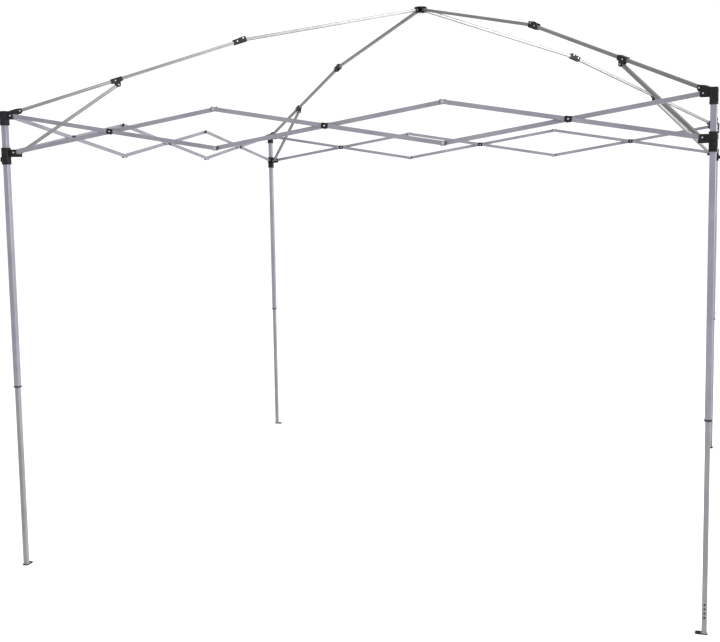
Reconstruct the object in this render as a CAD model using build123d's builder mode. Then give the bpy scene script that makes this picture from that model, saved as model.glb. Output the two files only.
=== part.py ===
from build123d import *
from math import asin, atan2, cos, degrees, radians, sin, sqrt
import os

# Pop-up canopy frame, standing open. Millimetres, +Z up, origin on the ground at the centre
# of the four legs. Everything repeats four times about Z: each shape is made once, at the
# front left corner or on the front side, and turned to the other three places.

# ---- driving dimensions ----
HALF_SPAN = 1500.0          # leg axis to the centre, along X and Y
TOP_PIN_Z = 2040.0          # truss pins in the corner brackets
SLIDER_PIN_Z = 1880.0       # truss pins in the sliders
PIN_REACH = 38.0            # truss pin to leg axis
BAYS = 3                    # crossed pairs along one side

OUTER_LEG = 24.0            # square tubes: outside width and wall
INNER_LEG = 20.0
LEG_WALL = 1.2
LEG_CORNER = 2.5
OUTER_LEG_Z = (830.0, 2056.0)
INNER_LEG_TOP = 1090.0

BAR_HEIGHT = 18.0           # truss bars
BAR_DEPTH = 9.0
BAR_WALL = 0.8
BAR_END = 10.0              # bar beyond its end pin
LAYER_GAP = 2.5             # between the outer and the inner layer of bars
LAYER = (BAR_DEPTH + LAYER_GAP) / 2

ROD = 15.0                  # rafters and struts, square tube
ROD_WALL = 1.2
ROD_END = 8.0

SLEEVE = 31.0               # plastic sleeves round the legs
FORK_WALL = 3.2             # plastic cheek beside a bar or rod
SLACK = 0.3                 # clearance between parts that move on each other

RIVET_R = 2.5
RIVET_HOLE_R = 2.55
HEAD_R = 4.2
HEAD_H = 1.8
HEAD_TAPER = 35.0

# roof, in the vertical plane through the leg and the centre: (radius, height)
RAFTER_PIN = Vector(HALF_SPAN * sqrt(2) - 64.0, 2063.0)
STRUT_PIN = Vector(HALF_SPAN * sqrt(2) - 56.0, SLIDER_PIN_Z - 4.4)
KNEE_PIN = Vector(1000.0, 2430.0)
HUB_PIN = Vector(24.0, 2622.0)
KNEE_RISE = 9.0             # knee pin above the middle line of both rafters
KNEE_LINK = 34.0            # between the two rivets of a knee
CLAMP_RADIUS = 1620.0       # where the strut meets the outer rafter
CLAMP_DROP = 22.0           # strut pin below the rafter's middle line
CLAMP_HALF = 27.0           # half the clamp's length along the rafter
CLAMP_RIVET = -8.0          # its rivet, from the strut pin towards the leg

CORNERS = ("front_left", "front_right", "back_right", "back_left")
SIDES = ("front", "right", "back", "left")
PARTS = "parts"

# ---- planes and directions at the front left corner ----
CORNER = Vector(-HALF_SPAN, -HALF_SPAN, 0)
INWARD = Vector(1, 1, 0).normalized()
ACROSS = Vector(-1, 1, 0).normalized()
ROOF = Plane(origin=(0, 0, 0), x_dir=-INWARD, z_dir=ACROSS)
FRONT = Plane(origin=CORNER, x_dir=(1, 0, 0), z_dir=(0, -1, 0))
LEFT = Plane(origin=CORNER, x_dir=(0, 1, 0), z_dir=(1, 0, 0))


def write(label, pieces):
    """Write one node: its solids stay separate, side by side."""
    node = Compound(label=label, children=pieces)
    export_step(node, f"{PARTS}/{label}.step")


def turned(piece, quarter):
    """A copy of a piece, turned about the middle of the frame by quarter turns."""
    return piece.rotate(Axis.Z, 90 * quarter)


def tube(start, end, across, width, height, wall, corner):
    """A rounded rectangular tube between two points; width lies along across."""
    run = end - start
    with BuildPart() as piece:
        with BuildSketch(Plane(origin=start, x_dir=across, z_dir=run)):
            RectangleRounded(width, height, corner)
            RectangleRounded(width - 2 * wall, height - 2 * wall, corner - wall + 0.2,
                             mode=Mode.SUBTRACT)
        extrude(amount=run.length)
    return piece


def rivet(plane, low, high, low_head=True, high_head=True):
    """A rivet along the plane's normal, its shank from low to high, with tapered heads."""
    with BuildPart() as piece:
        with BuildSketch(plane.offset(low)):
            Circle(RIVET_R)
        extrude(amount=high - low)
        if high_head:
            with BuildSketch(plane.offset(high)):
                Circle(HEAD_R)
            extrude(amount=HEAD_H, taper=HEAD_TAPER)
        if low_head:
            with BuildSketch(plane.offset(low)):
                Circle(HEAD_R)
            extrude(amount=-HEAD_H, taper=HEAD_TAPER)
    return piece.part


def roof_plane(point):
    """The roof plane with its origin moved to a (radius, height) point."""
    return Plane(origin=ROOF.from_local_coords(Vector(point.X, point.Y, 0)),
                 x_dir=ROOF.x_dir, z_dir=ROOF.z_dir)


def along(point, direction, up, u, v):
    """A (radius, height) point, u along a direction and v along its upward normal."""
    return point + direction * u + up * v


# ---- roof lines ----
def line_below_knee(pin, towards_centre):
    """Direction and upward normal of the rafter line that runs KNEE_RISE under the knee pin."""
    span = KNEE_PIN - pin
    lift = asin(KNEE_RISE / span.length)
    turn = atan2(span.Y, abs(span.X))
    slope = turn - lift if towards_centre else -turn + lift
    return Vector(-cos(slope), sin(slope)), Vector(sin(slope), cos(slope))


OUTER_DIR, OUTER_UP = line_below_knee(RAFTER_PIN, True)
INNER_DIR, INNER_UP = line_below_knee(HUB_PIN, False)
OUTER_LENGTH = (KNEE_PIN - RAFTER_PIN).dot(OUTER_DIR)
INNER_LENGTH = (HUB_PIN - KNEE_PIN).dot(INNER_DIR)
CLAMP_AT = (RAFTER_PIN.X - CLAMP_RADIUS) / -OUTER_DIR.X
CLAMP_PIN = along(RAFTER_PIN, OUTER_DIR, OUTER_UP, CLAMP_AT, -CLAMP_DROP)
STRUT_DIR = (CLAMP_PIN - STRUT_PIN).normalized()
STRUT_LENGTH = (CLAMP_PIN - STRUT_PIN).length
ROD_CHEEK = ROD / 2 + SLACK         # inside face of a cheek beside a rod
ROD_FORK = ROD_CHEEK + FORK_WALL    # outside face


# ---- legs ----
def leg_tube(width, low, high):
    """An upright square tube on the leg's axis."""
    start = CORNER + Vector(0, 0, low)
    return tube(start, CORNER + Vector(0, 0, high), Vector(1, 0, 0), width, width, LEG_WALL,
                LEG_CORNER)


LEG_HOLES = (66.0, 83.0, 100.0, 117.0)      # height settings near the foot
LEG_HOLE_R = 4.2
BUTTON_Z = 868.0                            # snap button in the outer tube
BUTTON_R = 3.6
BUTTON_PROUD = 3.0
FOOT_PLATE = (25.0, 46.0, 5.0)
FOOT_SHIFT = 10.0                           # plate centre from the leg axis, along the side
STAKE_HOLE_R = 4.5
STAKE_HOLE_REACH = 22.0
COLLAR = 27.4
COLLAR_HEIGHT = 4.0
COLLAR_LIP = 2.0


def side_hole(z, radius, depth):
    """Cut a round hole through the outward (-X) wall of the leg at height z."""
    wall = Plane(origin=CORNER + Vector(-depth, 0, z), x_dir=(0, 1, 0), z_dir=(1, 0, 0))
    with BuildSketch(wall) as profile:
        Circle(radius)
    extrude(profile.sketch, amount=depth, mode=Mode.SUBTRACT)


def make_outer_leg():
    """Upper leg tube with the opening of its snap button and a plastic collar at its foot."""
    with BuildPart() as outer_tube:
        add(leg_tube(OUTER_LEG, *OUTER_LEG_Z).part)
        side_hole(BUTTON_Z, BUTTON_R + SLACK, OUTER_LEG)
    with BuildPart() as collar:
        with BuildSketch(Plane.XY.offset(OUTER_LEG_Z[0] - COLLAR_LIP)):
            with Locations(CORNER):
                RectangleRounded(COLLAR, COLLAR, 4)
                Rectangle(INNER_LEG + 2 * SLACK, INNER_LEG + 2 * SLACK, mode=Mode.SUBTRACT)
        extrude(amount=COLLAR_LIP)
        with BuildSketch(Plane.XY.offset(OUTER_LEG_Z[0])):
            with Locations(CORNER):
                RectangleRounded(COLLAR, COLLAR, 4)
                Rectangle(OUTER_LEG, OUTER_LEG, mode=Mode.SUBTRACT)
        extrude(amount=COLLAR_HEIGHT)
    return [outer_tube.part, collar.part]


def make_inner_leg():
    """Lower leg tube with its row of holes, and a foot plate with a stake hole."""
    with BuildPart() as inner_tube:
        add(leg_tube(INNER_LEG, FOOT_PLATE[2], INNER_LEG_TOP).part)
        for z in LEG_HOLES:
            side_hole(z, LEG_HOLE_R, INNER_LEG)
        side_hole(BUTTON_Z, BUTTON_R + 2 * SLACK, INNER_LEG)
    with BuildPart() as foot:
        with BuildSketch():
            with Locations(CORNER + Vector(0, FOOT_SHIFT, 0)):
                RectangleRounded(FOOT_PLATE[0], FOOT_PLATE[1], 4)
            with Locations(CORNER + Vector(0, STAKE_HOLE_REACH, 0)):
                Circle(STAKE_HOLE_R, mode=Mode.SUBTRACT)
        extrude(amount=FOOT_PLATE[2])
    return [inner_tube.part, foot.part]


def make_leg_button():
    """Snap button that stands out of the outer tube's outward face."""
    face = Plane(origin=CORNER + Vector(-OUTER_LEG / 2 - BUTTON_PROUD, 0, BUTTON_Z),
                 x_dir=(0, 1, 0), z_dir=(1, 0, 0))
    with BuildPart() as button:
        with BuildSketch(face):
            Circle(BUTTON_R)
        extrude(amount=BUTTON_PROUD + LEG_WALL)
        fillet(button.edges().sort_by(Axis.X)[0], 1.2)
    return [button.part]


# ---- corner bracket and slider ----
BRACKET_Z = (1999.0, 2060.0)
BRACKET_ARM_Z = (2026.0, 2056.0)
SLIDER_Z = (SLIDER_PIN_Z - 52, SLIDER_PIN_Z + 21)
SLIDER_ARM_Z = (SLIDER_PIN_Z - 17, SLIDER_PIN_Z + 13)
ARM_TIP = PIN_REACH + 12
ARM_CORNER = 4.0
ARM_WEB = 21.0              # solid part of an arm, from the leg axis
BAR_CHEEK = BAR_DEPTH / 2 + SLACK
BAR_FORK = BAR_CHEEK + FORK_WALL


def bar_fork(plane, middle, arm_z):
    """A two-cheeked arm for the end of a truss bar; middle is the bar's layer."""
    low, high = arm_z
    with BuildSketch(plane.offset(middle - BAR_FORK)) as profile:
        with Locations(((ARM_TIP + SLEEVE / 2 - 2) / 2, (low + high) / 2)):
            RectangleRounded(ARM_TIP - SLEEVE / 2 + 2, high - low, ARM_CORNER)
    extrude(profile.sketch, amount=2 * BAR_FORK)
    with BuildSketch(plane.offset(middle - BAR_CHEEK)) as profile:
        with Locations(((ARM_TIP + ARM_WEB) / 2, (low + high) / 2)):
            Rectangle(ARM_TIP - ARM_WEB, high - low + 2)
    extrude(profile.sketch, amount=2 * BAR_CHEEK, mode=Mode.SUBTRACT)


def pin_hole(plane, x, z, reach):
    """Cut a rivet hole on both sides of a plane."""
    with BuildSketch(plane.offset(-reach)) as profile:
        with Locations((x, z)):
            Circle(RIVET_HOLE_R)
    extrude(profile.sketch, amount=2 * reach, mode=Mode.SUBTRACT)


def rod_fork(outline, slot, pin):
    """Two cheeks in the roof plane that hold a rafter or strut: outline less slot."""
    with BuildSketch(ROOF.offset(-ROD_FORK)) as profile:
        with BuildLine():
            Polyline(*outline, close=True)
        make_face()
    extrude(profile.sketch, amount=2 * ROD_FORK)
    with BuildSketch(ROOF.offset(-ROD_CHEEK)) as profile:
        with BuildLine():
            Polyline(*slot, close=True)
        make_face()
    extrude(profile.sketch, amount=2 * ROD_CHEEK, mode=Mode.SUBTRACT)
    pin_hole(ROOF, pin.X, pin.Y, ROD_FORK + 1)


def leg_sleeve(z_range, bore, closed):
    """The square sleeve round a leg, closed at its top on the corner bracket."""
    low, high = z_range
    with BuildSketch(Plane.XY.offset(low)) as profile:
        with Locations(CORNER):
            RectangleRounded(SLEEVE, SLEEVE, 3)
    extrude(profile.sketch, amount=high - low)
    with BuildSketch(Plane.XY.offset(low)) as profile:
        with Locations(CORNER):
            Rectangle(bore, bore)
    depth = OUTER_LEG_Z[1] - low if closed else high - low
    extrude(profile.sketch, amount=depth, mode=Mode.SUBTRACT)


def side_forks(arm_z, layer, pin_z):
    """The two truss arms, along the front (normal outward) and the left (normal inward)."""
    bar_fork(FRONT, layer, arm_z)
    bar_fork(LEFT, layer, arm_z)
    pin_hole(FRONT, PIN_REACH, pin_z, SLEEVE)
    pin_hole(LEFT, PIN_REACH, pin_z, SLEEVE)


def from_leg(distance):
    """Radius of a point at a distance inward from the leg axis."""
    return HALF_SPAN * sqrt(2) - distance


def make_bracket():
    """Corner bracket: sleeve on the leg's top, two truss arms and a raised rafter fork."""
    root, tip = from_leg(12), RAFTER_PIN.X - 11
    web = from_leg(48)
    with BuildPart() as bracket:
        leg_sleeve(BRACKET_Z, OUTER_LEG, closed=True)
        rod_fork(
            outline=[(root, 2030), (from_leg(42), 2042), (tip + 4, 2051), (tip, 2057),
                     (tip, 2070), (tip + 6, 2075), (from_leg(48), 2072), (root, 2060)],
            slot=[(web, 2030), (web, 2090), (tip - 5, 2090), (tip - 5, 2030)],
            pin=RAFTER_PIN)
        side_forks(BRACKET_ARM_Z, LAYER, TOP_PIN_Z)
        with BuildSketch(Plane.XY.offset(BRACKET_Z[0])):
            with Locations(CORNER):
                Rectangle(OUTER_LEG, OUTER_LEG)
        extrude(amount=OUTER_LEG_Z[1] - BRACKET_Z[0], mode=Mode.SUBTRACT)
    return [bracket.part]


SLIDER_BORE = OUTER_LEG + 2 * 0.4
KNOB_Z = SLIDER_PIN_Z - 30
KNOB_R = 5.0
KNOB_BOSS = (20.0, 22.0, 9.0)       # across, high, out from the sleeve
KNOB_PROUD = 4.0
KNOB_LENGTH = 10.5


def make_slider():
    """Slider: sleeve that runs on the outer leg, truss arms, strut fork and latch boss."""
    root, tip = from_leg(14), STRUT_PIN.X - 10
    web = from_leg(38)
    floor = SLIDER_PIN_Z - 19.5
    with BuildPart() as slider:
        leg_sleeve(SLIDER_Z, SLIDER_BORE, closed=False)
        rod_fork(
            outline=[(root, floor), (tip, floor), (tip, SLIDER_PIN_Z + 1),
                     (tip + 5, SLIDER_PIN_Z + 6), (from_leg(34), SLIDER_PIN_Z + 10),
                     (root, SLIDER_PIN_Z + 10)],
            slot=[(web, floor + 3.2), (web, SLIDER_PIN_Z + 20), (tip - 5, SLIDER_PIN_Z + 20),
                  (tip - 5, floor + 3.2)],
            pin=STRUT_PIN)
        side_forks(SLIDER_ARM_Z, -LAYER, SLIDER_PIN_Z)
        boss = Plane(origin=CORNER + Vector(-SLEEVE / 2, 0, KNOB_Z), x_dir=(0, 1, 0),
                     z_dir=(-1, 0, 0))
        with BuildSketch(boss.offset(-1)):
            RectangleRounded(KNOB_BOSS[0], KNOB_BOSS[1], 4)
        extrude(amount=KNOB_BOSS[2] + 1)
        with BuildSketch(boss.offset(-SLEEVE / 2)):
            Circle(KNOB_R + SLACK)
        extrude(amount=SLEEVE / 2 + KNOB_BOSS[2], mode=Mode.SUBTRACT)
        with BuildSketch(Plane.XY.offset(SLIDER_Z[0])):
            with Locations(CORNER):
                Rectangle(SLIDER_BORE, SLIDER_BORE)
        extrude(amount=SLIDER_Z[1] - SLIDER_Z[0], mode=Mode.SUBTRACT)
    return [slider.part]


def make_slider_button():
    """Latch button in the slider's boss."""
    outer = CORNER.X - SLEEVE / 2 - KNOB_BOSS[2] - KNOB_PROUD
    face = Plane(origin=(outer, CORNER.Y, KNOB_Z), x_dir=(0, 1, 0), z_dir=(1, 0, 0))
    with BuildPart() as button:
        with BuildSketch(face):
            Circle(KNOB_R)
        extrude(amount=KNOB_LENGTH)
        fillet(button.edges().sort_by(Axis.X)[0], 1.2)
    return [button.part]


# ---- truss bars ----
BAY = (HALF_SPAN - PIN_REACH) * 2 / BAYS
COVER = (28.0, 23.0, 2.6)           # plastic cover plate at a crossing
WASHER_R = 8.0


def bar_frame(bay, rising):
    """Start pin, end pin and layer of a front bar, in the front plane."""
    left = PIN_REACH + BAY * bay
    low, high = SLIDER_PIN_Z, TOP_PIN_Z
    start = Vector(left, low if rising else high)
    end = Vector(left + BAY, high if rising else low)
    return start, end, -LAYER if rising else LAYER


def front_point(point, out):
    """A point of the front plane, moved outward by out."""
    return FRONT.from_local_coords(Vector(point.X, point.Y, out))


def front_plane(point, out):
    """The front plane, moved to a point of it and outward by out."""
    return Plane(origin=front_point(point, out), x_dir=FRONT.x_dir, z_dir=FRONT.z_dir)


def make_bar(bay, rising):
    """One truss bar with the rivets it carries, its cover plate and its washers."""
    start, end, layer = bar_frame(bay, rising)
    middle = (start + end) / 2
    run = (end - start).normalized()
    outer, inner = layer + BAR_DEPTH / 2, layer - BAR_DEPTH / 2
    first, last = bay == 0, bay == BAYS - 1
    with BuildPart() as bar:
        add(tube(front_point(start - run * BAR_END, layer), front_point(end + run * BAR_END, layer),
                 Vector(0, -1, 0), BAR_DEPTH, BAR_HEIGHT, BAR_WALL, 1.8).part)
        for point in (start, middle, end):
            with BuildSketch(front_plane(point, inner - 1)):
                Circle(RIVET_HOLE_R)
            extrude(amount=BAR_DEPTH + 2, mode=Mode.SUBTRACT)
    sign = -1 if rising else 1
    skin = inner if rising else outer
    cover_plane = Plane(origin=front_point(middle, skin), x_dir=(run.X, 0, run.Y),
                        z_dir=(0, -sign, 0))
    with BuildPart() as cover:
        with BuildSketch(cover_plane):
            RectangleRounded(COVER[0], COVER[1], 4)
            Circle(RIVET_HOLE_R, mode=Mode.SUBTRACT)
        extrude(amount=COVER[2])
    pieces = [bar.part, cover.part]

    def fork_rivet(point):
        reach = BAR_FORK + SLACK
        return rivet(front_plane(point, layer), -reach, reach)

    def washer(point):
        with BuildPart() as ring:
            with BuildSketch(front_plane(point, -LAYER_GAP / 2 + SLACK)):
                Circle(WASHER_R)
                Circle(RIVET_HOLE_R, mode=Mode.SUBTRACT)
            extrude(amount=LAYER_GAP - SLACK)
        return ring.part

    def bar_rivet(point, inner_cover=0.0, outer_cover=0.0):
        low = -LAYER - BAR_DEPTH / 2 - inner_cover - SLACK
        return rivet(front_plane(point, 0), low, LAYER + BAR_DEPTH / 2 + outer_cover)

    def half_rivet(point):
        depth = BAR_DEPTH
        if rising:
            return rivet(front_plane(point, inner), 0, depth, high_head=False)
        return rivet(front_plane(point, inner), 0, depth, low_head=False)

    if not rising:
        pieces += [bar_rivet(middle, COVER[2], COVER[2]), washer(middle)]
        pieces += [fork_rivet(start)] if first else [bar_rivet(start) if not last else half_rivet(start)]
        pieces += [fork_rivet(end)] if last else [bar_rivet(end) if first else half_rivet(end)]
        pieces += [] if first or last else [washer(start)]
        pieces += [washer(end)] if first else []
    else:
        pieces += [fork_rivet(start)] if first else []
        pieces += [half_rivet(end)] if not first and not last else []
        pieces += [half_rivet(start), fork_rivet(end)] if last else []
    return pieces


# ---- roof ----
def rod(start, end):
    """A square tube in the roof plane between two (radius, height) points."""
    low = ROOF.from_local_coords(Vector(start.X, start.Y, 0))
    high = ROOF.from_local_coords(Vector(end.X, end.Y, 0))
    return tube(low, high, ACROSS, ROD, ROD, ROD_WALL, 2.2)


def cheeks(outline, inner, outer):
    """A pair of plates either side of the roof plane."""
    for low, high in ((inner, outer), (-outer, -inner)):
        with BuildSketch(ROOF.offset(low)) as profile:
            with BuildLine():
                Polyline(*outline, close=True)
            make_face()
        extrude(profile.sketch, amount=high - low)


def make_outer_rafter():
    """Outer rafter tube with its knee fitting, strut clamp and rivets."""
    def at(u, v):
        point = along(RAFTER_PIN, OUTER_DIR, OUTER_UP, u, v)
        return Vector(point.X, point.Y)

    first_rivet = OUTER_LENGTH - KNEE_LINK
    first_rise = KNEE_RISE / 3
    tube_end = first_rivet + 10
    half = ROD / 2
    with BuildPart() as rafter:
        add(rod(at(-ROD_END, 0), at(tube_end, 0)).part)
        for u, v in ((0, 0), (first_rivet, first_rise), (CLAMP_AT + CLAMP_RIVET, 0)):
            pin_hole(ROOF, at(u, v).X, at(u, v).Y, ROD)
    with BuildPart() as knee:
        low, high = first_rivet - 16, OUTER_LENGTH + 16
        notch = first_rivet + KNEE_LINK / 2
        cheeks([at(low, -9), at(low + 4, -13), at(notch - 3, -13), at(notch, -11.2),
                at(notch + 3, -13), at(high - 4, -13), at(high, -9), at(high, 11),
                at(high - 4, 16), at(notch + 3, 16), at(notch, 12), at(notch - 3, 14),
                at(low + 4, 14), at(low, 9)], ROD_CHEEK, ROD_FORK)
        with BuildSketch(ROOF.offset(-ROD_FORK)):
            with BuildLine():
                Polyline(at(low + 4, -13), at(notch - 3, -13), at(notch - 3, -half - SLACK),
                         at(low + 4, -half - SLACK), close=True)
            make_face()
        extrude(amount=2 * ROD_FORK)
        for u, v in ((first_rivet, first_rise), (OUTER_LENGTH, KNEE_RISE)):
            pin_hole(ROOF, at(u, v).X, at(u, v).Y, ROD)
    with BuildPart() as clamp:
        c = CLAMP_AT
        end = CLAMP_HALF
        cheeks([at(c - end, -8), at(c - end, 8), at(c - end + 3, 11), at(c + end - 3, 11),
                at(c + end, 8), at(c + end, -8), at(c + end - 4, -12), at(c + 14, -12),
                at(c + 9, -29), at(c + 5, -32), at(c - 6, -32), at(c - 10, -28),
                at(c - 13, -12), at(c - end + 4, -12)], ROD_CHEEK, ROD_FORK)
        with BuildSketch(ROOF.offset(-ROD_FORK)):
            with BuildLine():
                Polyline(at(c - end + 3, half + SLACK), at(c + end - 3, half + SLACK),
                         at(c + end - 3, 11), at(c - end + 3, 11), close=True)
            make_face()
        extrude(amount=2 * ROD_FORK)
        pin_hole(ROOF, at(c + CLAMP_RIVET, 0).X, at(c + CLAMP_RIVET, 0).Y, ROD)
        pin_hole(ROOF, at(c, -CLAMP_DROP).X, at(c, -CLAMP_DROP).Y, ROD)
    grip = ROD_FORK + SLACK
    strut_plane = roof_plane(at(CLAMP_AT, -CLAMP_DROP))
    return [rafter.part, knee.part, clamp.part,
            rivet(roof_plane(RAFTER_PIN), -grip, grip),
            rivet(roof_plane(at(first_rivet, first_rise)), -ROD_FORK, ROD_FORK),
            rivet(roof_plane(at(OUTER_LENGTH, KNEE_RISE)), -ROD_FORK, ROD_FORK),
            rivet(roof_plane(at(CLAMP_AT + CLAMP_RIVET, 0)), -ROD_FORK, ROD_FORK),
            rivet(strut_plane, ROD_CHEEK, ROD_FORK, low_head=False),
            rivet(strut_plane, -ROD_FORK, -ROD_CHEEK, high_head=False)]


def make_inner_rafter():
    """Inner rafter tube with the tab that carries it on the knee pin."""
    def at(u, v):
        point = along(KNEE_PIN, INNER_DIR, INNER_UP, u, v)
        return Vector(point.X, point.Y)

    axis = -KNEE_RISE
    with BuildPart() as rafter:
        add(rod(at(2, axis), at(INNER_LENGTH + ROD_END, axis)).part)
        pin_hole(ROOF, HUB_PIN.X, HUB_PIN.Y, ROD)
    with BuildPart() as tab:
        with BuildSketch(ROOF.offset(-ROD / 2 + 1)):
            with BuildLine():
                Polyline(at(0, -6.5), at(2, -6.5), at(2, axis + ROD / 2), at(18, axis + ROD / 2),
                         at(14, 6.5), at(0, 6.5), close=True)
            make_face()
            with Locations(KNEE_PIN):
                Circle(6.5)
                Circle(RIVET_HOLE_R, mode=Mode.SUBTRACT)
        extrude(amount=ROD - 2)
    return [rafter.part, tab.part]


def make_strut():
    """Strut from the slider up to the clamp, with its lower rivet and its upper pin."""
    with BuildPart() as strut:
        add(rod(STRUT_PIN - STRUT_DIR * ROD_END, CLAMP_PIN + STRUT_DIR * ROD_END).part)
        for pin in (STRUT_PIN, CLAMP_PIN):
            pin_hole(ROOF, pin.X, pin.Y, ROD)
    grip = ROD_FORK + SLACK
    return [strut.part, rivet(roof_plane(STRUT_PIN), -grip, grip),
            rivet(roof_plane(CLAMP_PIN), -ROD / 2, ROD / 2, low_head=False, high_head=False)]


HUB_CORE_R = 12.0
HUB_Z = (2609.0, 2634.0)
HUB_FORK_TIP = 33.0
HUB_CAP_R = 33.0
HUB_CAP_H = 7.0


def make_hub():
    """Peak hub: a core with four forks for the inner rafters."""
    with BuildPart() as hub:
        with BuildSketch(Plane.XY.offset(HUB_Z[0])):
            Circle(HUB_CORE_R)
        extrude(amount=HUB_Z[1] - HUB_Z[0])
        for quarter in range(4):
            facing = Plane(origin=(0, 0, 0), x_dir=ROOF.x_dir.rotate(Axis.Z, 90 * quarter),
                           z_dir=ROOF.z_dir.rotate(Axis.Z, 90 * quarter))
            for side in (ROD_CHEEK, -ROD_FORK):
                with BuildSketch(facing.offset(side)):
                    with BuildLine():
                        Polyline((4, HUB_Z[1]), (HUB_FORK_TIP, HUB_Z[1]),
                                 (HUB_FORK_TIP, HUB_PIN.Y - 8), (HUB_FORK_TIP - 8, HUB_Z[0]),
                                 (4, HUB_Z[0]), close=True)
                    make_face()
                    with Locations((HUB_PIN.X, HUB_PIN.Y)):
                        Circle(RIVET_HOLE_R, mode=Mode.SUBTRACT)
                extrude(amount=FORK_WALL)
    pins = []
    for quarter in range(4):
        pin = rivet(roof_plane(HUB_PIN), -ROD_CHEEK - 0.8, ROD_CHEEK + 0.8, low_head=False,
                    high_head=False)
        pins.append(turned(pin, quarter))
    return [hub.part] + pins


def make_hub_cap():
    """Round cap that closes the hub and carries the cover."""
    with BuildPart() as cap:
        with BuildSketch(Plane.XY.offset(HUB_Z[1])):
            Circle(HUB_CAP_R)
        extrude(amount=HUB_CAP_H)
        fillet(cap.edges().group_by(Axis.Z)[-1], 3.5)
    return [cap.part]


# ---- the whole frame ----
def main():
    os.makedirs(PARTS, exist_ok=True)
    corner_nodes = {
        "outer_leg": make_outer_leg() + make_bracket(),
        "inner_leg": make_inner_leg(),
        "leg_button": make_leg_button(),
        "slider": make_slider(),
        "slider_button": make_slider_button(),
        "outer_rafter": make_outer_rafter(),
        "inner_rafter": make_inner_rafter(),
        "strut": make_strut(),
    }
    for name, pieces in corner_nodes.items():
        for quarter, corner in enumerate(CORNERS):
            write(f"{name}_{corner}", [turned(piece, quarter) for piece in pieces])
    for bay in range(BAYS):
        for rising in (False, True):
            pieces = make_bar(bay, rising)
            lean = "rising" if rising else "falling"
            for quarter, side in enumerate(SIDES):
                write(f"{side}_bar_{bay + 1}_{lean}", [turned(piece, quarter) for piece in pieces])
    write("hub", make_hub())
    write("hub_cap", make_hub_cap())
    print("outer rafter", round(OUTER_LENGTH, 1), "inner rafter", round(INNER_LENGTH, 1),
          "strut", round(STRUT_LENGTH, 1), "slope", round(degrees(atan2(OUTER_DIR.Y, -OUTER_DIR.X)), 2))


main()
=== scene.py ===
import math

import bmesh
import bpy
from mathutils import Matrix, Vector


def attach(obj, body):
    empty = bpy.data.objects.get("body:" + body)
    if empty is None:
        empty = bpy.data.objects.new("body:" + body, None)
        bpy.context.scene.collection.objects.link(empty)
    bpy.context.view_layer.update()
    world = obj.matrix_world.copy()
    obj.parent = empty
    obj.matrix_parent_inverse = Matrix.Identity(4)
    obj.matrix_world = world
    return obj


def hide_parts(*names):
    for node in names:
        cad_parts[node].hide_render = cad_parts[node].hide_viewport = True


# Pop-up canopy frame, standing open. The CAD nodes carry the structure; this script gives them
# their finishes and adds the small pieces: plugs, moulded ribs, bosses, screws and welds.
# Shapes are drawn in millimetres at the front left corner or on the front side, as in the CAD,
# and turned about Z by quarter turns.

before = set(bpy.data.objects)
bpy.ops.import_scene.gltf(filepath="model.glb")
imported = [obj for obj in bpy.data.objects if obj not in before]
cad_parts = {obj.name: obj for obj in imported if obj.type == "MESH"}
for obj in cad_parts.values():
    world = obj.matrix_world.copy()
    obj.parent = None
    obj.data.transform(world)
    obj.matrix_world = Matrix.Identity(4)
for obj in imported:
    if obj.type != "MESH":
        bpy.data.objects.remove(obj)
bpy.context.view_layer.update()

MM = 0.001
CORNERS = ("front_left", "front_right", "back_right", "back_left")
SIDES = ("front", "right", "back", "left")
BARS = [(bay, lean) for bay in (1, 2, 3) for lean in ("falling", "rising")]

# ---- dimensions of the frame, in millimetres ----
HALF_SPAN = 1500.0
TOP_PIN_Z = 2040.0
SLIDER_PIN_Z = 1880.0
PIN_REACH = 38.0
BAY = (HALF_SPAN - PIN_REACH) * 2 / 3
OUTER_LEG = 24.0
INNER_LEG = 20.0
BAR_HEIGHT, BAR_DEPTH, BAR_WALL, BAR_END = 18.0, 9.0, 0.8, 10.0
LAYER = 5.75
BAR_FORK = 8.0
ROD, ROD_WALL, ROD_END = 15.0, 1.2, 8.0
ROD_FORK = 11.0
SLEEVE = 31.0
BUTTON_Z = 868.0
COVER = (28.0, 23.0, 2.6)
RAFTER_PIN = (HALF_SPAN * math.sqrt(2) - 64.0, 2063.0)
STRUT_PIN = (HALF_SPAN * math.sqrt(2) - 56.0, 1875.6)
KNEE_PIN = (1000.0, 2430.0)
HUB_PIN = (24.0, 2622.0)
KNEE_RISE, KNEE_LINK = 9.0, 34.0
CLAMP_RADIUS, CLAMP_DROP, CLAMP_RIVET = 1620.0, 22.0, -8.0

CORNER = Vector((-HALF_SPAN, -HALF_SPAN, 0.0))
UP = Vector((0.0, 0.0, 1.0))
RADIAL = Vector((-1.0, -1.0, 0.0)).normalized()


# ---- places ----
def place(origin, u, v):
    """A local frame: u and v span the drawing plane, and w = u x v stands on it."""
    u, v = Vector(u).normalized(), Vector(v).normalized()
    matrix = Matrix((u, v, u.cross(v))).transposed().to_4x4()
    matrix.translation = Vector(origin)
    return matrix


def front_face(x, z, out):
    """On the front side, w outward (-Y): x from the corner, out from the leg axis."""
    return place(CORNER + Vector((x, -out, z)), (1, 0, 0), UP)


def end_face(y, z, out):
    """On the leg's outward -X face, w outward: y from the corner, out from the leg axis."""
    return place(CORNER + Vector((-out, y, z)), (0, -1, 0), UP)


def left_face(y, z, out):
    """On the left side's inner layer, w inward (+X)."""
    return place(CORNER + Vector((out, y, z)), (0, 1, 0), UP)


def roof_point(radius, height):
    return RADIAL * radius + UP * height


def roof_face(point, side, out):
    """On one cheek in the roof plane; side is 1 or -1 across it."""
    across = RADIAL.cross(UP)
    return place(roof_point(*point) + across * out * side, RADIAL * side, UP)


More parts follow.
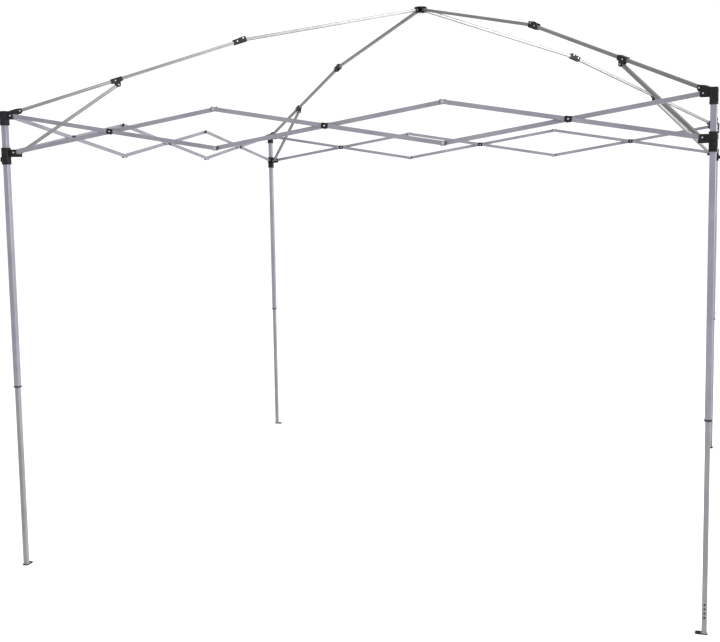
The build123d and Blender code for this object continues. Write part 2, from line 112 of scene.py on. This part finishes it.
def roof_line(pin, towards_centre):
    """Direction and upward normal of a rafter line, as (radius, height)."""
    span = (KNEE_PIN[0] - pin[0], KNEE_PIN[1] - pin[1])
    lift = math.asin(KNEE_RISE / math.hypot(*span))
    turn = math.atan2(span[1], abs(span[0]))
    slope = turn - lift if towards_centre else lift - turn
    return (-math.cos(slope), math.sin(slope)), (math.sin(slope), math.cos(slope))


def step(point, line, u, v):
    """A (radius, height) point moved u along a line and v along its normal."""
    along, normal = line
    return (point[0] + along[0] * u + normal[0] * v, point[1] + along[1] * u + normal[1] * v)


OUTER_LINE = roof_line(RAFTER_PIN, True)
INNER_LINE = roof_line(HUB_PIN, False)
OUTER_LENGTH = sum((KNEE_PIN[i] - RAFTER_PIN[i]) * OUTER_LINE[0][i] for i in range(2))
INNER_LENGTH = sum((HUB_PIN[i] - KNEE_PIN[i]) * INNER_LINE[0][i] for i in range(2))
CLAMP_AT = (CLAMP_RADIUS - RAFTER_PIN[0]) / OUTER_LINE[0][0]
CLAMP_PIN = step(RAFTER_PIN, OUTER_LINE, CLAMP_AT, -CLAMP_DROP)
FIRST_RIVET = OUTER_LENGTH - KNEE_LINK
FIRST_RISE = KNEE_RISE / 3
RING_IN, RING_OUT = 4.7, 6.6         # moulded ring round a rivet's head


# ---- shapes, drawn with bmesh in millimetres ----
def rounded(width, height, radius, steps=5):
    """Outline of a rounded rectangle, anticlockwise."""
    points = []
    for index, (sx, sy) in enumerate(((1, 1), (-1, 1), (-1, -1), (1, -1))):
        for k in range(steps + 1):
            angle = math.pi / 2 * (index + k / steps)
            points.append((sx * (width / 2 - radius) + radius * math.cos(angle),
                           sy * (height / 2 - radius) + radius * math.sin(angle)))
    return points


def skin(bm, rings, closed=True):
    """Faces between neighbouring rings of vertices; closed also joins the last to the first."""
    for lower, upper in zip(rings, rings[1:] + (rings[:1] if closed else [])):
        for k in range(len(lower)):
            after = (k + 1) % len(lower)
            bm.faces.new((lower[k], lower[after], upper[after], upper[k]))


def slab(bm, outline, low, high, where, soft=0.4):
    """A closed plate: the outline raised from low to high, its upper rim eased by soft."""
    count = len(outline)
    middle = (sum(p[0] for p in outline) / count, sum(p[1] for p in outline) / count)
    reach = max(math.hypot(p[0] - middle[0], p[1] - middle[1]) for p in outline)
    rings = []
    for height, inset in ((low, 0.0), (high - soft, 0.0), (high - 0.3 * soft, 0.3 * soft),
                          (high, soft)):
        shrink = 1 - inset / reach
        rings.append([bm.verts.new(where @ Vector((middle[0] + (x - middle[0]) * shrink,
                                                   middle[1] + (y - middle[1]) * shrink,
                                                   height))) for x, y in outline])
    skin(bm, rings, closed=False)
    bm.faces.new(list(reversed(rings[0])))
    bm.faces.new(rings[-1])


def lathe(bm, profile, where, steps=32, closed=False):
    """A turned shape about w from (radius, height) points; closed joins last to first."""
    rings = []
    for radius, height in profile:
        if radius == 0:
            rings.append([bm.verts.new(where @ Vector((0, 0, height)))])
            continue
        rings.append([bm.verts.new(where @ Vector((radius * math.cos(2 * math.pi * k / steps),
                                                   radius * math.sin(2 * math.pi * k / steps),
                                                   height))) for k in range(steps)])
    pairs = list(zip(rings, rings[1:])) + ([(rings[-1], rings[0])] if closed else [])
    for lower, upper in pairs:
        for k in range(steps):
            after = (k + 1) % steps
            if len(lower) == 1:
                bm.faces.new((lower[0], upper[after], upper[k]))
            elif len(upper) == 1:
                bm.faces.new((lower[k], lower[after], upper[0]))
            else:
                bm.faces.new((lower[k], lower[after], upper[after], upper[k]))


def boss(bm, where, inner, outer, height):
    """A moulded ring round a rivet."""
    edge = min(0.3, height / 2)
    lathe(bm, [(outer, -0.3), (outer, height - edge), (outer - edge, height),
               (inner + edge, height), (inner, height - edge), (inner, -0.3)], where, closed=True)


def dome(bm, where, radius, height, rim=0.5):
    """A domed rivet or screw head."""
    profile = [(0, -0.4), (radius, -0.4), (radius, rim)]
    for k in range(1, 6):
        angle = math.pi / 2 * k / 6
        profile.append((radius * math.cos(angle), rim + (height - rim) * math.sin(angle)))
    lathe(bm, profile + [(0, height)], where)


def panel(bm, where, width, height, rim, proud):
    """A moulded frame of ribs standing on a flat face."""
    outer = rounded(width, height, 2.5)
    inner = rounded(width - 2 * rim, height - 2 * rim, 1.5)
    layers = []
    for outline, level in ((outer, -0.3), (outer, proud - 0.2), (inner, proud - 0.2),
                           (inner, -0.3)):
        layers.append([bm.verts.new(where @ Vector((x, y, level))) for x, y in outline])
    crown = []
    for outline, inset in ((outer, 0.2), (inner, -0.2)):
        crown.append([bm.verts.new(where @ Vector((x * (1 - inset / (width / 2)),
                                                   y * (1 - inset / (height / 2)), proud)))
                      for x, y in outline])
    loops = [layers[0], layers[1], crown[0], crown[1], layers[2], layers[3]]
    skin(bm, loops)


def add_piece(name, draw, body, finish, quarter=0):
    """Draws a piece, turns it to its place and rides it on its body."""
    bm = bmesh.new()
    draw(bm)
    bmesh.ops.remove_doubles(bm, verts=bm.verts, dist=1e-4)
    bmesh.ops.recalc_face_normals(bm, faces=bm.faces)
    mesh = bpy.data.meshes.new(name)
    bm.to_mesh(mesh)
    bm.free()
    mesh.transform(Matrix.Rotation(math.pi / 2 * quarter, 4, "Z") @ Matrix.Scale(MM, 4))
    mesh.materials.append(finish)
    mesh.shade_smooth()
    mesh.set_sharp_from_angle(angle=math.radians(38))
    piece = bpy.data.objects.new(name, mesh)
    bpy.context.scene.collection.objects.link(piece)
    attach(piece, body)
    return piece


# ---- materials ----
def new_material(name):
    material = bpy.data.materials.new(name)
    material.use_nodes = True
    nodes = material.node_tree.nodes
    return material, nodes, material.node_tree.links, nodes["Principled BSDF"]


def noise(nodes, links, vector, scale, detail, roughness=0.5, stretch=(1, 1, 1)):
    """A noise texture in object space, stretched along an axis if asked."""
    mapping = nodes.new("ShaderNodeMapping")
    mapping.inputs["Scale"].default_value = stretch
    texture = nodes.new("ShaderNodeTexNoise")
    texture.inputs["Scale"].default_value = scale
    texture.inputs["Detail"].default_value = detail
    texture.inputs["Roughness"].default_value = roughness
    links.new(vector, mapping.inputs["Vector"])
    links.new(mapping.outputs["Vector"], texture.inputs["Vector"])
    return texture.outputs["Fac"]


def ramp(nodes, links, value, stops):
    """A colour ramp through (position, colour or grey) stops."""
    node = nodes.new("ShaderNodeValToRGB")
    elements = node.color_ramp.elements
    while len(elements) < len(stops):
        elements.new(0.5)
    for element, (position, colour) in zip(elements, stops):
        element.position = position
        element.color = (*colour, 1) if isinstance(colour, tuple) else (colour, colour, colour, 1)
    links.new(value, node.inputs["Fac"])
    return node.outputs["Color"]


def mix(nodes, links, factor, first, second, how="MIX"):
    node = nodes.new("ShaderNodeMix")
    node.data_type = "RGBA"
    node.blend_type = how
    if isinstance(factor, float):
        node.inputs[0].default_value = factor
    else:
        links.new(factor, node.inputs[0])
    for socket, value in ((node.inputs[6], first), (node.inputs[7], second)):
        if isinstance(value, tuple):
            socket.default_value = (*value, 1)
        else:
            links.new(value, socket)
    return node.outputs[2]


def bump(nodes, links, height, strength, distance, normal=None):
    node = nodes.new("ShaderNodeBump")
    node.inputs["Strength"].default_value = strength
    node.inputs["Distance"].default_value = distance
    links.new(height, node.inputs["Height"])
    if normal is not None:
        links.new(normal, node.inputs["Normal"])
    return node.outputs["Normal"]


def edge_mask(nodes, links, radius):
    """1 along edges, from the difference between the true and a rounded normal."""
    soft = nodes.new("ShaderNodeBevel")
    soft.samples = 4
    soft.inputs["Radius"].default_value = radius
    geometry = nodes.new("ShaderNodeNewGeometry")
    dot = nodes.new("ShaderNodeVectorMath")
    dot.operation = "DOT_PRODUCT"
    links.new(soft.outputs["Normal"], dot.inputs[0])
    links.new(geometry.outputs["Normal"], dot.inputs[1])
    spread = nodes.new("ShaderNodeMapRange")
    spread.inputs["From Min"].default_value = 0.995
    spread.inputs["From Max"].default_value = 0.86
    links.new(dot.outputs["Value"], spread.inputs["Value"])
    return spread.outputs["Result"]


def painted_steel(name, colour, dark, metallic):
    """Powder-coated tube: patchy tone, lighter flakes, orange peel, dust and rubbed edges."""
    material, nodes, links, shader = new_material(name)
    space = nodes.new("ShaderNodeTexCoord").outputs["Object"]
    patches = noise(nodes, links, space, 9.0, 5.0)
    tint = ramp(nodes, links, patches, [(0.32, dark), (0.66, colour)])
    flake = noise(nodes, links, space, 2600.0, 2.0)
    light = tuple(min(1.0, c * 1.22) for c in colour)
    tint = mix(nodes, links, ramp(nodes, links, flake, [(0.45, 0.0), (0.72, 0.55)]), tint, light)
    worn = nodes.new("ShaderNodeMath")
    worn.operation = "MULTIPLY"
    links.new(edge_mask(nodes, links, 0.0012), worn.inputs[0])
    links.new(ramp(nodes, links, noise(nodes, links, space, 60.0, 6.0), [(0.48, 0.0), (0.62, 0.8)]),
              worn.inputs[1])
    tint = mix(nodes, links, worn.outputs["Value"], tint, (0.40, 0.40, 0.41))
    links.new(tint, shader.inputs["Base Color"])
    shader.inputs["Metallic"].default_value = metallic
    rough = ramp(nodes, links, noise(nodes, links, space, 130.0, 4.0), [(0.3, 0.34), (0.7, 0.50)])
    links.new(rough, shader.inputs["Roughness"])
    shader.inputs["Coat Weight"].default_value = 0.25
    shader.inputs["Coat Roughness"].default_value = 0.28
    peel = bump(nodes, links, noise(nodes, links, space, 420.0, 2.0), 0.22, 0.0003)
    fine = bump(nodes, links, flake, 0.10, 0.0001, peel)
    links.new(fine, shader.inputs["Normal"])
    return material


def moulded_plastic(name, colour):
    """Moulded black nylon: eroded grain, flow marks and slightly greyed edges."""
    material, nodes, links, shader = new_material(name)
    space = nodes.new("ShaderNodeTexCoord").outputs["Object"]
    flow = noise(nodes, links, space, 45.0, 4.0)
    lighter = tuple(c * 1.7 + 0.003 for c in colour)
    tint = ramp(nodes, links, flow, [(0.35, colour), (0.72, lighter)])
    rubbed = tuple(c + 0.035 for c in colour)
    tint = mix(nodes, links, edge_mask(nodes, links, 0.0009), tint, rubbed)
    links.new(tint, shader.inputs["Base Color"])
    rough = ramp(nodes, links, noise(nodes, links, space, 300.0, 3.0), [(0.3, 0.42), (0.7, 0.60)])
    links.new(rough, shader.inputs["Roughness"])
    shader.inputs["Specular IOR Level"].default_value = 0.12
    grain = nodes.new("ShaderNodeTexVoronoi")
    grain.inputs["Scale"].default_value = 1900.0
    links.new(space, grain.inputs["Vector"])
    pitted = bump(nodes, links, grain.outputs["Distance"], 0.30, 0.00012)
    links.new(bump(nodes, links, flow, 0.08, 0.0006, pitted), shader.inputs["Normal"])
    return material


def plated_steel(name, colour):
    """Bright zinc plate on rivets, pins and screws: patchy roughness and small stains."""
    material, nodes, links, shader = new_material(name)
    space = nodes.new("ShaderNodeTexCoord").outputs["Object"]
    stain = noise(nodes, links, space, 240.0, 5.0)
    dull = tuple(c * 0.72 for c in colour)
    links.new(ramp(nodes, links, stain, [(0.34, dull), (0.62, colour)]), shader.inputs["Base Color"])
    shader.inputs["Metallic"].default_value = 0.85
    rough = ramp(nodes, links, noise(nodes, links, space, 900.0, 3.0), [(0.3, 0.22), (0.7, 0.40)])
    links.new(rough, shader.inputs["Roughness"])
    links.new(bump(nodes, links, stain, 0.12, 0.0002), shader.inputs["Normal"])
    return material


LEG_PAINT = painted_steel("leg_paint", (0.205, 0.20, 0.24), (0.16, 0.155, 0.19), 0.35)
INNER_PAINT = painted_steel("inner_leg_paint", (0.19, 0.19, 0.205), (0.145, 0.145, 0.16), 0.35)
TRUSS_PAINT = painted_steel("truss_paint", (0.195, 0.19, 0.225), (0.15, 0.145, 0.175), 0.35)
ROOF_PAINT = painted_steel("roof_paint", (0.13, 0.13, 0.135), (0.10, 0.10, 0.105), 0.35)
BLACK = moulded_plastic("black_nylon", (0.006, 0.006, 0.007))
ZINC = plated_steel("zinc_plate", (0.42, 0.42, 0.43))

# ---- the CAD nodes' finishes ----
RIVET_TALLEST = 0.0105      # metres, as the next: a collar, foot plate or cap is this low too
TUBE_SHORTEST = 0.30


def solids_of(mesh):
    """The mesh's polygons, grouped by the separate solid that each belongs to."""
    spot_of = {}
    leader = []
    vertex_spot = []
    for vertex in mesh.vertices:
        key = tuple(round(c, 6) for c in vertex.co)
        if key not in spot_of:
            spot_of[key] = len(leader)
            leader.append(len(leader))
        vertex_spot.append(spot_of[key])

    def head(spot):
        while leader[spot] != spot:
            leader[spot] = leader[leader[spot]]
            spot = leader[spot]
        return spot

    for polygon in mesh.polygons:
        first = head(vertex_spot[polygon.vertices[0]])
        for vertex in polygon.vertices[1:]:
            leader[head(vertex_spot[vertex])] = first
    groups = {}
    for polygon in mesh.polygons:
        groups.setdefault(head(vertex_spot[polygon.vertices[0]]), []).append(polygon)
    return groups.values()


def finish_node(name, tube_paint, low_finish=ZINC):
    """Paint on a CAD node's tubes, black plastic on its fittings, low_finish on its low solids."""
    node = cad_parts[name]
    mesh = node.data
    mesh.materials.clear()
    for finish in (tube_paint, BLACK, low_finish):
        mesh.materials.append(finish)
    for solid in solids_of(mesh):
        points = [mesh.vertices[v].co for polygon in solid for v in polygon.vertices]
        size = [max(p[i] for p in points) - min(p[i] for p in points) for i in range(3)]
        index = 1
        if max(size) > TUBE_SHORTEST:
            index = 0
        elif size[2] < RIVET_TALLEST:
            index = 2
        for polygon in solid:
            polygon.material_index = index
    weld = node.modifiers.new("weld", "WELD")
    weld.merge_threshold = 1e-5
    bevel = node.modifiers.new("eased_edges", "BEVEL")
    bevel.width = 0.0005
    bevel.segments = 2
    bevel.limit_method = "ANGLE"
    bevel.angle_limit = math.radians(42)
    bevel.harden_normals = True


for corner in CORNERS:
    finish_node(f"outer_leg_{corner}", LEG_PAINT, low_finish=BLACK)
    finish_node(f"inner_leg_{corner}", INNER_PAINT, low_finish=BLACK)
    finish_node(f"leg_button_{corner}", LEG_PAINT, low_finish=LEG_PAINT)
    finish_node(f"slider_{corner}", BLACK)
    finish_node(f"slider_button_{corner}", BLACK, low_finish=BLACK)
    finish_node(f"outer_rafter_{corner}", ROOF_PAINT)
    finish_node(f"inner_rafter_{corner}", ROOF_PAINT)
    finish_node(f"strut_{corner}", ROOF_PAINT)
for side in SIDES:
    for bay, lean in BARS:
        finish_node(f"{side}_bar_{bay}_{lean}", TRUSS_PAINT)
finish_node("hub", BLACK)
finish_node("hub_cap", BLACK, low_finish=BLACK)


# ---- plugs in the open tube ends ----
def bar_ends(bay, lean):
    """Start pin, end pin and layer of a truss bar, in the front side's (x, z)."""
    left = PIN_REACH + BAY * (bay - 1)
    low, high = SLIDER_PIN_Z, TOP_PIN_Z
    if lean == "rising":
        return (left, low), (left + BAY, high), -LAYER
    return (left, high), (left + BAY, low), LAYER


PLUG_DEPTH = 12.0


def draw_plug(bm, where, width, height, wall, corner, proud):
    """A plug in a tube's end: a lip that covers the wall and a body inside the tube."""
    if proud > 0:
        slab(bm, rounded(width, height, corner), 0.0, proud, where, soft=0.6)
    inside = rounded(width - 2 * wall - 0.2, height - 2 * wall - 0.2, max(corner - wall, 0.6))
    slab(bm, inside, -PLUG_DEPTH, -0.4 if proud == 0 else 0.4, where, soft=0.3)


def draw_bar_plugs(bay, lean):
    start, end, layer = bar_ends(bay, lean)
    run = Vector((end[0] - start[0], 0.0, end[1] - start[1])).normalized()
    out = Vector((0.0, -1.0, 0.0))

    def draw(bm):
        for pin, way in ((start, -run), (end, run)):
            tip = front_face(pin[0], pin[1], layer).translation + way * BAR_END
            where = place(tip, out, way.cross(out))
            draw_plug(bm, where, BAR_DEPTH + 0.3, BAR_HEIGHT + 0.4, BAR_WALL, 2.0, 2.0)
    return draw


def roof_end(point, line, way):
    """The end of a rod: w points out of it."""
    along = (RADIAL * line[0] + UP * line[1]) * way
    across = RADIAL.cross(UP)
    return place(roof_point(*point), across, along.cross(across))


for quarter, side in enumerate(SIDES):
    for bay, lean in BARS:
        bar = f"{side}_bar_{bay}_{lean}"
        add_piece(f"{bar}_plugs", draw_bar_plugs(bay, lean), bar, BLACK, quarter)

STRUT_RUN = Vector((CLAMP_PIN[0] - STRUT_PIN[0], CLAMP_PIN[1] - STRUT_PIN[1])).normalized()


def draw_outer_rafter_plugs(bm):
    for u, way in ((-ROD_END, -1), (FIRST_RIVET + 10, 1)):
        where = roof_end(step(RAFTER_PIN, OUTER_LINE, u, 0), OUTER_LINE[0], way)
        draw_plug(bm, where, ROD + 0.4, ROD + 0.4, ROD_WALL, 2.4, 1.8)


def draw_inner_rafter_plug(bm):
    tip = step(KNEE_PIN, INNER_LINE, INNER_LENGTH + ROD_END, -KNEE_RISE)
    draw_plug(bm, roof_end(tip, INNER_LINE[0], 1), ROD, ROD, ROD_WALL, 2.2, 0)


def draw_strut_plugs(bm):
    low = (STRUT_PIN[0] - STRUT_RUN.x * ROD_END, STRUT_PIN[1] - STRUT_RUN.y * ROD_END)
    high = (CLAMP_PIN[0] + STRUT_RUN.x * ROD_END, CLAMP_PIN[1] + STRUT_RUN.y * ROD_END)
    draw_plug(bm, roof_end(low, STRUT_RUN, -1), ROD, ROD, ROD_WALL, 2.2, 0)
    draw_plug(bm, roof_end(high, STRUT_RUN, 1), ROD, ROD, ROD_WALL, 2.2, 0)


# ---- moulded detail and fixings at a corner ----
BRACKET_LOW, BRACKET_TOP = 1999.0, 2060.0
SLIDER_LOW, SLIDER_TOP = SLIDER_PIN_Z - 52, SLIDER_PIN_Z + 21
COLLAR, COLLAR_Z = 27.4, (828.0, 834.0)


def band(bm, outline, low, high, proud):
    """A raised band round a square sleeve on the leg's axis."""
    shape = rounded(outline + 2 * proud, outline + 2 * proud, 3 + proud)
    inner = rounded(outline - 0.6, outline - 0.6, 3)
    where = place(CORNER, (1, 0, 0), (0, 1, 0))
    edge = 0.4
    eased = 1 - edge / (outline / 2)
    rings = []
    for points, z, scale in ((inner, low, 1), (shape, low, eased), (shape, low + edge, 1),
                             (shape, high - edge, 1), (shape, high, eased), (inner, high, 1)):
        rings.append([bm.verts.new(where @ Vector((x * scale, y * scale, z))) for x, y in points])
    skin(bm, rings)


def draw_bracket_trim(bm):
    band(bm, SLEEVE, BRACKET_LOW, BRACKET_LOW + 5, 0.9)
    middle = (BRACKET_LOW + BRACKET_TOP) / 2 + 3
    for face in (front_face, end_face):
        panel(bm, face(0, middle, SLEEVE / 2), 25, 46, 1.8, 0.8)
    slab(bm, rounded(27, 27, 4), -0.3, 1.6, place(CORNER + UP * BRACKET_TOP, (1, 0, 0), (0, 1, 0)),
         soft=1.2)
    boss(bm, front_face(PIN_REACH, TOP_PIN_Z, LAYER + BAR_FORK), RING_IN, RING_OUT, 0.5)
    boss(bm, left_face(PIN_REACH, TOP_PIN_Z, LAYER + BAR_FORK), RING_IN, RING_OUT, 0.5)
    for way in (1, -1):
        boss(bm, roof_face(RAFTER_PIN, way, ROD_FORK), RING_IN, RING_OUT, 0.6)
    for face in (front_face, end_face):
        for z in (BRACKET_LOW + 13, BRACKET_TOP - 12):
            dome(bm, face(0, z, SLEEVE / 2), 3.0, 1.6)


def draw_slider_trim(bm):
    band(bm, SLEEVE, SLIDER_LOW, SLIDER_LOW + 5, 0.9)
    band(bm, SLEEVE, SLIDER_TOP - 5, SLIDER_TOP, 0.9)
    panel(bm, front_face(0, SLIDER_PIN_Z - 15, SLEEVE / 2), 25, 56, 1.8, 0.8)
    boss(bm, front_face(PIN_REACH, SLIDER_PIN_Z, BAR_FORK - LAYER), RING_IN, RING_OUT, 0.5)
    boss(bm, left_face(PIN_REACH, SLIDER_PIN_Z, BAR_FORK - LAYER), RING_IN, RING_OUT, 0.5)
    for way in (1, -1):
        boss(bm, roof_face(STRUT_PIN, way, ROD_FORK), RING_IN, RING_OUT, 0.6)
    boss(bm, end_face(0, SLIDER_PIN_Z - 30, SLEEVE / 2 + 9), 5.8, 8.0, 0.8)
    for z in (SLIDER_PIN_Z - 6, SLIDER_PIN_Z, SLIDER_PIN_Z + 6):
        slab(bm, rounded(22, 2.4, 1.1), -0.3, 1.0, end_face(0, z, SLEEVE / 2), soft=0.5)


def draw_collar_trim(bm):
    for low in (COLLAR_Z[0] + 0.8, COLLAR_Z[0] + 3.4):
        band(bm, COLLAR, low, low + 1.6, 0.5)


def draw_button_rim(bm):
    boss(bm, end_face(0, BUTTON_Z, OUTER_LEG / 2), 4.2, 5.6, 0.4)


WELD_BEADS = 44


def draw_foot_weld(bm):
    """A rippled weld bead round the foot of the inner tube."""
    path = rounded(INNER_LEG, INNER_LEG, 2.5, steps=4)
    walk = []
    for (x0, y0), (x1, y1) in zip(path, path[1:] + path[:1]):
        parts = max(1, round(math.hypot(x1 - x0, y1 - y0) / 0.45))
        walk += [(x0 + (x1 - x0) * k / parts, y0 + (y1 - y0) * k / parts) for k in range(parts)]
    rings = []
    for index, (x, y) in enumerate(walk):
        ripple = abs(math.sin(math.pi * WELD_BEADS * index / len(walk)))
        size = 1.9 + 0.7 * ripple
        out = Vector((x, y, 0)).normalized()
        base = CORNER + Vector((x, y, 5.0))
        ring = [base - out * 0.5 - UP * 0.3]
        for k in range(5):
            angle = math.pi / 2 * k / 4
            ring.append(base + out * size * math.cos(angle) + UP * size * math.sin(angle))
        ring[1] = ring[1] - UP * 0.3
        ring.append(base - out * 0.5 + UP * size)
        rings.append([bm.verts.new(point) for point in ring])
    skin(bm, rings)


def draw_rafter_trim(bm):
    """Rings on both cheeks of the knee fitting and of the strut clamp."""
    for way in (1, -1):
        for u, v in ((FIRST_RIVET, FIRST_RISE), (OUTER_LENGTH, KNEE_RISE),
                     (CLAMP_AT + CLAMP_RIVET, 0), (CLAMP_AT, -CLAMP_DROP)):
            where = roof_face(step(RAFTER_PIN, OUTER_LINE, u, v), way, ROD_FORK)
            boss(bm, where, RING_IN, RING_OUT, 0.7)


def cover_face(lean):
    """The skin of the bar that carries a cover plate, w away from the bar."""
    x = PIN_REACH + BAY / 2
    z = (TOP_PIN_Z + SLIDER_PIN_Z) / 2
    out = LAYER + BAR_DEPTH / 2 + COVER[2]
    start, end, _ = bar_ends(1, lean)
    run = Vector((end[0] - start[0], 0.0, end[1] - start[1])).normalized()
    away = -1.0 if lean == "falling" else 1.0
    origin = CORNER + Vector((x, away * out, z))
    return place(origin, run * -away, Vector((-run.z, 0, run.x)))


def draw_cover_trim(bay, lean):
    shift = Matrix.Translation(Vector((BAY * (bay - 1), 0, 0)))

    def draw(bm):
        where = shift @ cover_face(lean)
        panel(bm, where, COVER[0] - 1.6, COVER[1] - 1.6, 1.5, 0.6)
        boss(bm, where, RING_IN, RING_OUT, 0.7)
    return draw


CORNER_PIECES = (
    ("bracket_trim", draw_bracket_trim, "leg", "black_plastic", BLACK),
    ("slider_trim", draw_slider_trim, "slider", "black_plastic", BLACK),
    ("collar_trim", draw_collar_trim, "leg", "black_plastic", BLACK),
    ("button_rim", draw_button_rim, "leg", "leg_tube", LEG_PAINT),
    ("foot_weld", draw_foot_weld, "inner_leg", "inner_tube", INNER_PAINT),
    ("rafter_trim", draw_rafter_trim, "outer_rafter", "black_plastic", BLACK),
    ("rafter_plugs", draw_outer_rafter_plugs, "outer_rafter", "black_plastic", BLACK),
    ("inner_rafter_plug", draw_inner_rafter_plug, "inner_rafter", "black_plastic", BLACK),
    ("strut_plugs", draw_strut_plugs, "strut", "black_plastic", BLACK),
)
for quarter, corner in enumerate(CORNERS):
    for piece, draw, body, slot, finish in CORNER_PIECES:
        add_piece(f"{piece}_{corner}", draw, f"{body}_{corner}", finish, quarter)
for quarter, side in enumerate(SIDES):
    for bay, lean in BARS:
        bar = f"{side}_bar_{bay}_{lean}"
        add_piece(f"{bar}_cover_trim", draw_cover_trim(bay, lean), bar, BLACK,
                  quarter)

# ---- peak ----
HUB_LOW = 2609.0
CAP_LOW, CAP_TOP, CAP_R = 2634.0, 2641.0, 33.0
CAP_RIBS = 8


def draw_hub_cap(bm):
    """The cap: a shallow dome with a rim, a centre disc and radial ribs."""
    where = place((0, 0, 0), (1, 0, 0), (0, 1, 0))
    profile = [(0, CAP_LOW), (CAP_R - 1.0, CAP_LOW), (CAP_R, CAP_LOW + 0.8),
               (CAP_R, CAP_LOW + 2.5)]
    for k in range(1, 9):
        angle = math.pi / 2 * k / 8
        profile.append((14.0 + (CAP_R - 14.0) * math.cos(angle),
                        CAP_LOW + 2.5 + 3.2 * math.sin(angle)))
    profile += [(13.2, CAP_TOP - 1.0), (12.5, CAP_TOP - 0.2), (11.6, CAP_TOP), (0, CAP_TOP)]
    lathe(bm, profile, where, steps=64)
    for k in range(CAP_RIBS):
        turn = math.pi * 2 * (k + 0.5) / CAP_RIBS
        radial = Vector((math.cos(turn), math.sin(turn), 0))
        side = Vector((-math.sin(turn), math.cos(turn), 0))
        rings = []
        for radius, z in ((12.6, 6.3), (19.5, 6.0), (25.0, 5.3), (29.5, 4.0), (31.6, 2.4)):
            middle = radial * radius + UP * (CAP_LOW + z)
            rings.append([bm.verts.new(middle + side * s - UP * d)
                          for s, d in ((-1.3, 1.4), (-0.8, 0.0), (0.8, 0.0), (1.3, 1.4))])
        skin(bm, rings, closed=False)
        bm.faces.new(rings[0])
        bm.faces.new(rings[-1])


def draw_hub_screw(bm):
    dome(bm, place((0, 0, HUB_LOW), (1, 0, 0), (0, -1, 0)), 5.0, 2.4, rim=0.8)


cap = add_piece("peak_cap", draw_hub_cap, "hub", BLACK)
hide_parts("hub_cap")
add_piece("hub_screw", draw_hub_screw, "hub", ZINC)


# ---- stage, light and camera ----
def stage_material():
    material, nodes, links, shader = new_material("stage")
    space = nodes.new("ShaderNodeTexCoord").outputs["Object"]
    faint = noise(nodes, links, space, 0.6, 2.0)
    links.new(ramp(nodes, links, faint, [(0.3, 0.90), (0.7, 0.93)]), shader.inputs["Base Color"])
    shader.inputs["Roughness"].default_value = 0.9
    return material


def make_stage():
    """A plain pale floor that runs on past the view, under a white world."""
    bm = bmesh.new()
    bmesh.ops.create_grid(bm, x_segments=8, y_segments=8, size=60.0)
    mesh = bpy.data.meshes.new("floor")
    bm.to_mesh(mesh)
    bm.free()
    mesh.materials.append(stage_material())
    floor = bpy.data.objects.new("floor", mesh)
    floor.location.z = -0.0005
    bpy.context.scene.collection.objects.link(floor)


def add_area(name, location, target, size, power, colour):
    lamp = bpy.data.lights.new(name, "AREA")
    lamp.shape = "DISK"
    lamp.size = size
    lamp.energy = power
    lamp.color = colour
    light = bpy.data.objects.new(name, lamp)
    light.location = location
    light.rotation_euler = (Vector(target) - Vector(location)).to_track_quat("-Z", "Y").to_euler()
    bpy.context.scene.collection.objects.link(light)


make_stage()
world = bpy.data.worlds.new("studio")
world.use_nodes = True
world.node_tree.nodes["Background"].inputs["Color"].default_value = (1.0, 1.0, 1.0, 1.0)
world.node_tree.nodes["Background"].inputs["Strength"].default_value = 1.12
bpy.context.scene.world = world
add_area("key", (13.0, -2.5, 5.0), (0, 0, 1.4), 5.0, 2500.0, (1.0, 0.99, 0.98))
add_area("fill", (-2.0, -8.0, 4.0), (0, 0, 1.5), 4.0, 60.0, (0.98, 0.98, 1.0))

CAMERA_AT = Vector((1.528, -5.705, 1.750))      # metres
LENS, SHIFT_X, SHIFT_Y = 54.91, -0.0443, -0.0359
YAW, PITCH, ROLL = math.radians(16.642), math.radians(6.123), math.radians(-0.726)


def make_camera():
    """The camera, a little above eye height, in front of the right half of the frame."""
    data = bpy.data.cameras.new("camera")
    data.sensor_width = 36.0
    data.lens = LENS
    data.shift_x = SHIFT_X
    data.shift_y = SHIFT_Y
    camera = bpy.data.objects.new("camera", data)
    forward = Vector((-math.sin(YAW) * math.cos(PITCH), math.cos(YAW) * math.cos(PITCH),
                      -math.sin(PITCH)))
    right = Vector((math.cos(YAW), math.sin(YAW), 0.0))
    up = right.cross(forward)
    tilted = right * math.cos(ROLL) + up * math.sin(ROLL)
    head = up * math.cos(ROLL) - right * math.sin(ROLL)
    turn = Matrix((tilted, head, -forward)).transposed().to_4x4()
    camera.matrix_world = Matrix.Translation(CAMERA_AT) @ turn
    bpy.context.scene.collection.objects.link(camera)
    bpy.context.scene.camera = camera


make_camera()
bpy.context.scene.view_settings.view_transform = "Standard"
